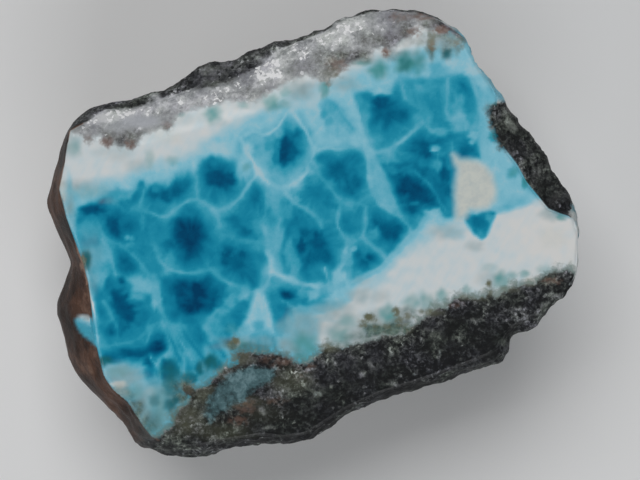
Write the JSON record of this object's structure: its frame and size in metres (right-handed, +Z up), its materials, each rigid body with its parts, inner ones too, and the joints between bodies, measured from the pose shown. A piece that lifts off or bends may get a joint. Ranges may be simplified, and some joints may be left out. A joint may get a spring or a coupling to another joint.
{
  "type": "rough larimar stone with a polished face",
  "caption": "Palm-sized rough stone with one flat polished face of blue and white larimar in dark basalt.",
  "frame": {"origin": "middle of the stone's footprint box, on the surface that it rests on", "axes": "+Z up, out of the polished face; +X along the long side of the face, towards its pale pointed end; +Y towards the side where the polish rolls down"},
  "size_m": [0.108, 0.091, 0.04],
  "materials": {
    "stone": "polished blue and white pectolite face with dark basalt borders, and rough matt basalt sides and underside"
  },
  "bodies": {
    "root": {"larimar_stone": "stone"}
  },
  "joints": []
}
